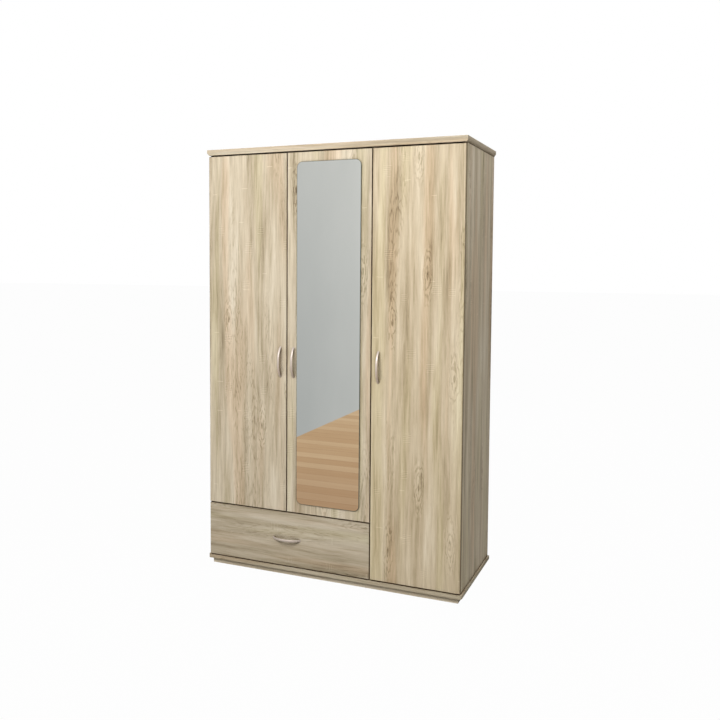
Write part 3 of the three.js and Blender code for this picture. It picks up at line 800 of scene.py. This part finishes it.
def add_turned(bm, profile, place, axis, segments=20):
    """Turns (radius, height) points round an axis through place. Both end rings get a cap."""
    turn = Vector((0, 0, 1)).rotation_difference(Vector(axis)).to_matrix()
    rings = []
    for radius, height in profile:
        ring = []
        for i in range(segments):
            angle = 2 * math.pi * i / segments
            point = Vector((radius * math.cos(angle), radius * math.sin(angle), height))
            ring.append(Vector(place) + turn @ point)
        rings.append(ring)
    add_loft(bm, rings)


def add_screw(bm, place, axis, radius=0.0040, height=0.0016):
    """A pan-head screw with a cross-shaped recess, seen from outside along its axis."""
    turn = Vector((0, 0, 1)).rotation_difference(Vector(axis)).to_matrix()
    segments = 24
    profile = [
        (1.00, 0.00, 0.0), (1.00, 0.35, 0.0), (0.90, 0.72, 0.0), (0.68, 1.00, 0.0),
        (0.40, 1.00, 0.5), (0.30, 0.35, 0.5),
    ]
    rings = []
    for share, rise, lobes in profile:
        ring = []
        for i in range(segments):
            angle = 2 * math.pi * i / segments
            reach = share * radius * (1 + lobes * math.cos(4 * angle))
            point = Vector((reach * math.cos(angle), reach * math.sin(angle), rise * height))
            ring.append(Vector(place) + turn @ point)
        rings.append(ring)
    add_loft(bm, rings)


def add_box(bm, low, high, rounding):
    """A box between two corners, with rounded edges."""
    size = Vector(high) - Vector(low)
    centre = (Vector(high) + Vector(low)) / 2
    matrix = Matrix.Translation(centre) @ Matrix.Diagonal((*size, 1.0))
    made = bmesh.ops.create_cube(bm, size=1.0, matrix=matrix)
    edges = {edge for vert in made["verts"] for edge in vert.link_edges}
    bmesh.ops.bevel(bm, geom=list(edges), offset=rounding, segments=2, affect="EDGES", profile=0.6)


# ---- Handles ----
def make_handle(node_name, body, nickel):
    """A satin bow: an arched strap with soft edges that narrows a little towards its feet."""
    low, high = (Vector(corner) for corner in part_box(node_name))
    centre = (low + high) / 2
    size = high - low
    lies = size.x > size.z
    length, width = (size.x, size.z) if lies else (size.z, size.x)
    steps, sides = 56, 28
    reach = length / 2 - HANDLE_STRAP
    rise = size.y - HANDLE_STRAP / 2
    rings = []
    for step in range(steps + 1):
        t = -1 + 2 * step / steps
        slope = -HANDLE_ARCH_POWER * math.copysign(abs(t) ** (HANDLE_ARCH_POWER - 1), t)
        tangent = Vector((reach, rise * slope)).normalized()
        half_width = width / 2 * (1 - HANDLE_TAPER * abs(t) ** 3)
        ring = []
        for i in range(sides):
            angle = -2 * math.pi * i / sides
            sine, cosine = math.sin(angle), math.cos(angle)
            offset = HANDLE_STRAP / 2 * math.copysign(abs(sine) ** 0.8, sine)
            across = half_width * math.copysign(abs(cosine) ** 0.7, cosine)
            along = reach * t - tangent.y * offset
            out = rise * (1 - abs(t) ** HANDLE_ARCH_POWER) + tangent.x * offset
            if step in (0, steps):
                along -= out * tangent.x / tangent.y
                out = 0.0
            point = (along, -out, across) if lies else (across, -out, along)
            ring.append(Vector((centre.x, high.y, centre.z)) + Vector(point))
        rings.append(ring)
    bm = bmesh.new()
    add_loft(bm, rings)
    piece = to_object(node_name + "_bow", bm, [nickel], body, 60.0)
    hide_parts(node_name)


def handle_screw_places(node_name):
    low, high = (Vector(corner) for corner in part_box(node_name))
    centre = (low + high) / 2
    lies = high.x - low.x > high.z - low.z
    step = Vector((HANDLE_SCREW_SPACING / 2, 0, 0) if lies else (0, 0, HANDLE_SCREW_SPACING / 2))
    behind = Vector((centre.x, high.y + PART_GAP + BOARD, centre.z))
    return [behind - step, behind + step]


# ---- Mirror ----
def rounded_outline(width, height, radius, segments):
    points = []
    for sign_x, sign_z, turn in ((1, 1, 0.0), (-1, 1, 0.5), (-1, -1, 1.0), (1, -1, 1.5)):
        for i in range(segments + 1):
            angle = math.pi * (turn + 0.5 * i / segments)
            x = sign_x * (width / 2 - radius) + radius * math.cos(angle)
            z = sign_z * (height / 2 - radius) + radius * math.sin(angle)
            points.append((x, z))
    return points


def make_mirror():
    """The mirror plate with its ground edge and its faceted rim."""
    low, high = (Vector(corner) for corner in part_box("mirror_glass"))
    centre = (low + high) / 2
    width, height = high.x - low.x, high.z - low.z
    rings = []
    for inset, y in ((0.0, high.y), (0.0, low.y + MIRROR_BEVEL_DEPTH), (MIRROR_BEVEL, low.y)):
        outline = rounded_outline(width - 2 * inset, height - 2 * inset, MIRROR_CORNER - inset, 16)
        rings.append([Vector((centre.x + x, y, centre.z + z)) for x, z in outline])
    bm = bmesh.new()
    faces = add_loft(bm, rings)
    faces[-1].material_index = 1
    materials = [glass_edge_material(), mirror_material()]
    piece = to_object("mirror_plate", bm, materials, "mirror_door", 4.0)
    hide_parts("mirror_glass")


# ---- Hanging rail ----
def make_rail(chrome):
    """The oval tube of the hanging rail, with rounded ends of its wall."""
    low, high = (Vector(corner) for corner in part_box("hanging_rail"))
    centre = (low + high) / 2
    wall, lip, sides = 0.0012, 0.0004, 56

    def oval(x, inset):
        half_width = (high.y - low.y) / 2 - inset
        half_straight = (high.z - low.z) / 2 - (high.y - low.y) / 2
        ring = []
        for i in range(sides):
            angle = 2 * math.pi * (i + 0.5) / sides
            z = math.copysign(half_straight, math.sin(angle)) + half_width * math.sin(angle)
            ring.append(Vector((x, centre.y + half_width * math.cos(angle), centre.z + z)))
        return ring

    outer = [oval(low.x, lip), oval(low.x + lip, 0), oval(high.x - lip, 0), oval(high.x, lip)]
    inner = [oval(high.x, wall), oval(low.x, wall)]
    bm = bmesh.new()
    rows = [[bm.verts.new(point) for point in ring] for ring in outer + inner]
    for row, next_row in zip(rows, rows[1:] + rows[:1]):
        for i in range(sides):
            j = (i + 1) % sides
            bm.faces.new((row[i], row[j], next_row[j], next_row[i]))
    piece = to_object("hanging_rail_tube", bm, [chrome], "carcass", 50.0)
    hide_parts("hanging_rail")


# ---- Hinges ----
def hinge_side(door):
    """+1 where the door runs towards +X from its hinges."""
    return 1 if middle(door + "_hinge_cup_1").x < middle(door + "_door_panel").x else -1


def make_hinge_details(door, steel):
    """The links, pins, screws and adjusters of one door's three hinges."""
    body = door + "_door"
    side = hinge_side(door)
    link_low, link_high = (Vector(corner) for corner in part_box(door + "_hinge_link"))
    link_x = (link_low.x + link_high.x) / 2
    knuckle_y = link_low.y + KNUCKLE_RADIUS
    links, on_door, on_carcass = bmesh.new(), bmesh.new(), bmesh.new()
    for number in (1, 2, 3):
        cup_low, cup_high = (Vector(corner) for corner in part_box(f"{door}_hinge_cup_{number}"))
        arm_low, arm_high = (Vector(corner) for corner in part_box(f"{door}_hinge_arm_{number}"))
        z = (cup_low.z + cup_high.z) / 2
        if number != 2:
            half = (link_high.z - link_low.z) / 2
            end_radius = KNUCKLE_RADIUS - KNUCKLE_CHAMFER
            full_half = half - KNUCKLE_CHAMFER
            knuckle = [(end_radius, -half), (KNUCKLE_RADIUS, -full_half),
                       (KNUCKLE_RADIUS, full_half), (end_radius, half)]
            add_turned(links, knuckle, (link_x, knuckle_y, z), (0, 0, 1))
            bar_low = (link_x - LINK_THICKNESS / 2, knuckle_y, z - LINK_WIDTH / 2)
            bar_high = (link_x + LINK_THICKNESS / 2, link_high.y, z + LINK_WIDTH / 2)
            add_box(links, bar_low, bar_high, 0.0004)
        # Wing screws, on the flanges above and below the cup
        wing_y = BACK_OF_DOORS + PART_GAP + WING_THICKNESS
        for sign in (-1, 1):
            wing_z = z + sign * WING_SCREW_RISE
            add_screw(on_door, (link_x + side * 0.001, wing_y, wing_z), (0, 1, 0), 0.0038, 0.0006)
            # The riveted ends of the pin that holds the knuckle
            ear_z = z + sign * (LINK_WIDTH / 2 + RIVET_GAP)
            rivet = [(0.0017, 0.0), (0.0017, 0.0004), (0.0011, 0.0008)]
            add_turned(on_door, rivet, (link_x, knuckle_y, ear_z), (0, 0, sign), 14)
        # Plate screws and the two adjusters on the arm's web
        panel_x = arm_low.x if side > 0 else arm_high.x
        web_x = arm_high.x if side > 0 else arm_low.x
        for sign in (-1, 1):
            plate_x = panel_x + side * 0.002
            place = (plate_x, arm_high.y - PLATE_SCREW_PLACE, z + sign * PLATE_SCREW_RISE)
            add_screw(on_carcass, place, (side, 0, 0))
        for back_off in ADJUSTER_PLACES:
            place = (web_x, arm_high.y - back_off, z)
            add_screw(on_carcass, place, (side, 0, 0), 0.0036, 0.0010)
        # The cap on the arm's front part
        cap_x = sorted((web_x, web_x + side * CAP_THICKNESS))
        cap_low = (cap_x[0], arm_high.y - CAP_FRONT, z - CAP_HALF_HEIGHT)
        cap_high = (cap_x[1], arm_high.y - CAP_REAR, z + CAP_HALF_HEIGHT)
        add_box(on_carcass, cap_low, cap_high, 0.0002)
    for point in handle_screw_places(door + "_door_handle"):
        add_screw(on_door, point, (0, 1, 0), 0.0042, 0.0016)
    to_object(door + "_outer_links", links, [steel], door + "_links")
    to_object(door + "_door_screws", on_door, [steel], body)
    to_object(door + "_arm_screws", on_carcass, [steel], "carcass")


# ---- Shelf supports ----
def make_shelf_supports(steel, shadow):
    """Pins under the four shelves, and dark discs of painted shade for two rows of drilled holes on each
    side of the bay.
    """
    pins, hole_shades = bmesh.new(), bmesh.new()
    partition_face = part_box("centre_partition")[1].x
    panel_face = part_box("right_side_panel")[0].x
    shelf_low, shelf_high = (Vector(corner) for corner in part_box("shelf_1"))
    rows = (shelf_low.y + 0.040, shelf_high.y - 0.050)
    shelf_bottoms = [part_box(f"shelf_{number}")[0].z for number in (1, 2, 3, 4)]
    for face, direction in ((partition_face, 1), (panel_face, -1)):
        for y in rows:
            for bottom in shelf_bottoms:
                pin_z = bottom - PIN_RADIUS - 0.0002
                pin = [(PIN_COLLAR_RADIUS, 0.0), (PIN_COLLAR_RADIUS, 0.0008), (PIN_RADIUS, 0.0010),
                       (PIN_RADIUS, 0.0078), (PIN_RADIUS - 0.0006, 0.0086)]
                add_turned(pins, pin, (face, y, pin_z), (direction, 0, 0), 18)
                # A dark disc: painted shade where a hole is drilled
                hole = [(PIN_RADIUS, 0.0), (PIN_RADIUS, HOLE_DISC)]
                for step in range(-HOLES_EACH_WAY, HOLES_EACH_WAY + 1):
                    if step:
                        place = (face, y, pin_z + step * HOLE_PITCH)
                        add_turned(hole_shades, hole, place, (direction, 0, 0), 16)
    to_object("shelf_supports", pins, [steel], "carcass")
    to_object("shelf_pin_hole_shades", hole_shades, [shadow], "carcass")


# ---- Small fittings ----
def make_fittings(steel):
    """Screws of the rail sockets, of the runners and of the drawer's handle."""
    on_carcass, on_drawer = bmesh.new(), bmesh.new()
    for name, direction in (("rail_socket_left", 1), ("rail_socket_right", -1)):
        low, high = (Vector(corner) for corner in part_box(name))
        face = high.x if direction > 0 else low.x
        for z in (low.z + 0.0022, high.z - 0.0022):
            add_screw(on_carcass, (face, (low.y + high.y) / 2, z), (direction, 0, 0), 0.0018, 0.0006)
    for name, direction in (("drawer_runner_left", -1), ("drawer_runner_right", 1)):
        low, high = (Vector(corner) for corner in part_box(name))
        web = low.x + RUNNER_STEEL if direction > 0 else high.x - RUNNER_STEEL
        for back_off in RUNNER_SCREW_PLACES:
            place = (web, low.y + back_off, (low.z + high.z) / 2)
            add_screw(on_drawer, place, (direction, 0, 0), 0.0034, 0.0012)
    for point in handle_screw_places("drawer_handle"):
        add_screw(on_drawer, point, (0, 1, 0), 0.0042, 0.0016)
    to_object("rail_socket_screws", on_carcass, [steel], "carcass")
    to_object("drawer_screws", on_drawer, [steel], "drawer")


def main():
    make_camera()
    make_studio()
    finish_boards()
    brush = (900.0, 900.0, 60.0)
    nickel = metal_material("satin_nickel", srgb(220, 208, 198), 0.50, brush, 0.12, 0.52)
    steel = metal_material("hinge_steel", srgb(196, 198, 202), 0.26, (200.0, 700.0, 200.0))
    zinc = metal_material("runner_steel", srgb(178, 182, 186), 0.38, (90.0, 90.0, 400.0))
    chrome = metal_material("rail_chrome", srgb(220, 221, 224), 0.12, (20.0, 600.0, 600.0), 0.04)
    # Painted shade for the drilled holes
    shadow = plastic_material("drilled_hole_shade", srgb(52, 42, 30), 0.9)
    for name in NODES:
        if "runner" in name:
            paint(name, zinc, THIN_EDGE_ROUNDING)
        elif "hinge" in name or "socket" in name:
            paint(name, steel, THIN_EDGE_ROUNDING)
    make_mirror()
    make_rail(chrome)
    for door in ("left", "mirror", "right"):
        make_handle(door + "_door_handle", door + "_door", nickel)
        make_hinge_details(door, steel)
    make_handle("drawer_handle", "drawer", nickel)
    make_shelf_supports(steel, shadow)
    make_fittings(steel)


main()
